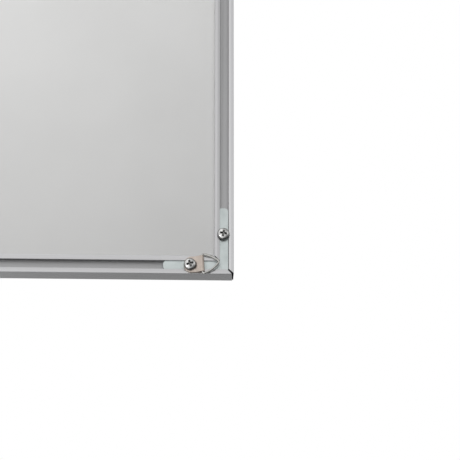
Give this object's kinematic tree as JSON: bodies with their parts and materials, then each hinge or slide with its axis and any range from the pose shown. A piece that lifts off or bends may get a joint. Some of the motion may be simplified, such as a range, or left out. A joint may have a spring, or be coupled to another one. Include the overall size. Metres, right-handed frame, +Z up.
{
  "type": "poster frame",
  "caption": "Slim aluminium section poster frame with mitred rails, corner brackets in rear channels, strap hangers with wire rings, clear glazing and backing board.",
  "frame": {"origin": "centre of the whole box of the assembly", "axes": "+Z up as the frame hangs, -Y out of its front, +Y out of its back to the wall, +X to the right as seen from the front"},
  "size_m": [0.6158, 0.0198, 0.9194],
  "materials": {
    "rail_aluminium": "satin anodised extrusion",
    "bracket_zinc": "bright zinc plated flat steel",
    "screw_plating": "bright nickel plated steel",
    "hanger_nickel": "warm nickel plated sheet steel",
    "ring_wire": "nickel plated steel wire",
    "glazing_acrylic": "clear acrylic sheet",
    "poster_paper": "matt blank sheet",
    "backing_grey": "hardboard with a smooth light grey coating"
  },
  "bodies": {
    "frame": {"rail_bottom": "rail_aluminium", "rail_left": "rail_aluminium", "rail_right": "rail_aluminium", "corner_bracket_bottom_left": "bracket_zinc", "corner_bracket_bottom_right": "bracket_zinc", "screw_bottom_left_in_bottom_rail": "screw_plating", "screw_bottom_left_in_left_rail": "screw_plating", "screw_bottom_right_in_bottom_rail": "screw_plating", "screw_bottom_right_in_right_rail": "screw_plating"},
    "end_rail": {"rail_top": "rail_aluminium", "corner_bracket_top_left": "bracket_zinc", "corner_bracket_top_right": "bracket_zinc", "screw_top_left_in_top_rail": "screw_plating", "screw_top_left_in_left_rail": "screw_plating", "screw_top_right_in_top_rail": "screw_plating", "screw_top_right_in_right_rail": "screw_plating", "hanger_plate_left": "hanger_nickel", "hanger_plate_right": "hanger_nickel"},
    "picture_pack": {"glazing_sheet": "glazing_acrylic", "poster_sheet": "poster_paper", "backing_board": "backing_grey"},
    "ring_left": {"hanger_ring_left": "ring_wire"},
    "ring_right": {"hanger_ring_right": "ring_wire"}
  },
  "joints": [
    {"name": "end_rail_slide", "type": "slide", "parent": "frame", "child": "end_rail", "axis": [0, 0, 1], "range_m": [0, 0.3]},
    {"name": "picture_pack_slide", "type": "slide", "parent": "frame", "child": "picture_pack", "axis": [0, 0, 1], "range_m": [0, 0.15]},
    {"name": "ring_left_hinge", "type": "hinge", "parent": "end_rail", "child": "ring_left", "pos_m": [-0.3004, 0.007, 0.43718], "axis": [-0.9976, 0, 0.0698], "range_deg": [-4, 150]},
    {"name": "ring_right_hinge", "type": "hinge", "parent": "end_rail", "child": "ring_right", "pos_m": [0.3004, 0.007, 0.43718], "axis": [-0.9976, 0, -0.0698], "range_deg": [-4, 150]}
  ],
  "couplings": [
    {"joint": "picture_pack_slide", "follows": "end_rail_slide", "ratio": 0.5}
  ]
}
